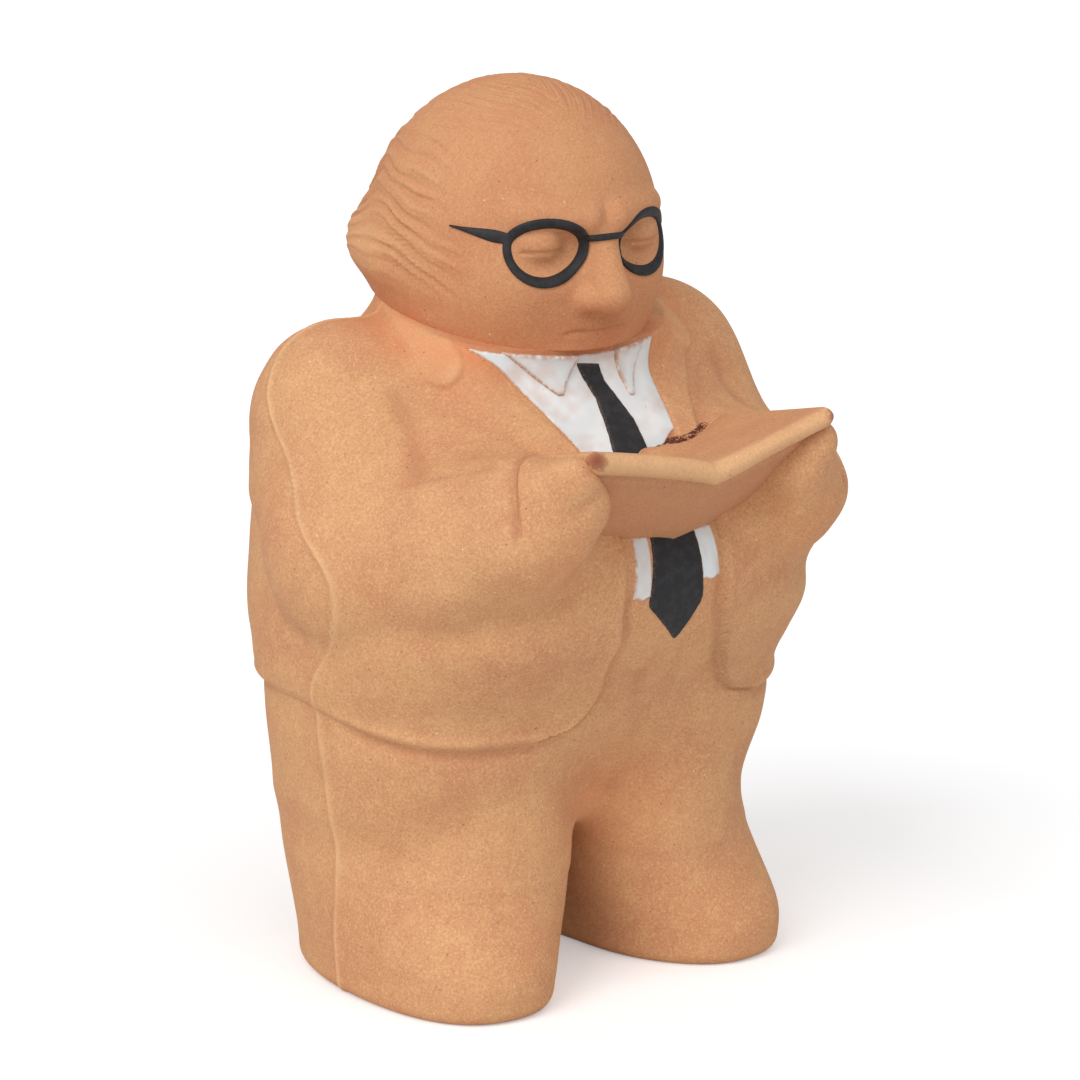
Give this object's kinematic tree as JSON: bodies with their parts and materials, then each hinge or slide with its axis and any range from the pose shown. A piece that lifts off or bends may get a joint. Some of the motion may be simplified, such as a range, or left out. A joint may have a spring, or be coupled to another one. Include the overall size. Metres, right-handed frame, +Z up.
{
  "type": "stoneware figurine",
  "caption": "Free-standing hollow stoneware figurine of a stout bald man in a suit, with a glazed shirt, black tie and painted spectacles, reading an open booklet held in both hands.",
  "frame": {"origin": "middle of the figurine's bounding box, seen from above, on the plane of the soles that it stands on", "axes": "+Z up from the soles to the crown; the figurine faces -Y, so +X is the figurine's own left-hand side"},
  "size_m": [0.1376, 0.1194, 0.1995],
  "materials": {
    "stoneware": "unglazed sandy stoneware, matte, with fine dark and light grains",
    "white_glaze": "glossy white glaze, bluish where it pools and pinkish where it is thin",
    "black_slip": "brushed black slip, low sheen"
  },
  "bodies": {
    "root": {"front_half": "stoneware", "back_half": "stoneware", "head_front": "stoneware", "head_back": "stoneware", "booklet": "stoneware", "right_hand": "stoneware", "left_hand": "stoneware", "spectacles": "black_slip", "shirt_front": "white_glaze", "shirt_strip_right": "white_glaze", "shirt_strip_left": "white_glaze", "collar_right": "white_glaze", "collar_left": "white_glaze", "tie_upper": "black_slip", "tie_lower": "black_slip"}
  },
  "joints": []
}
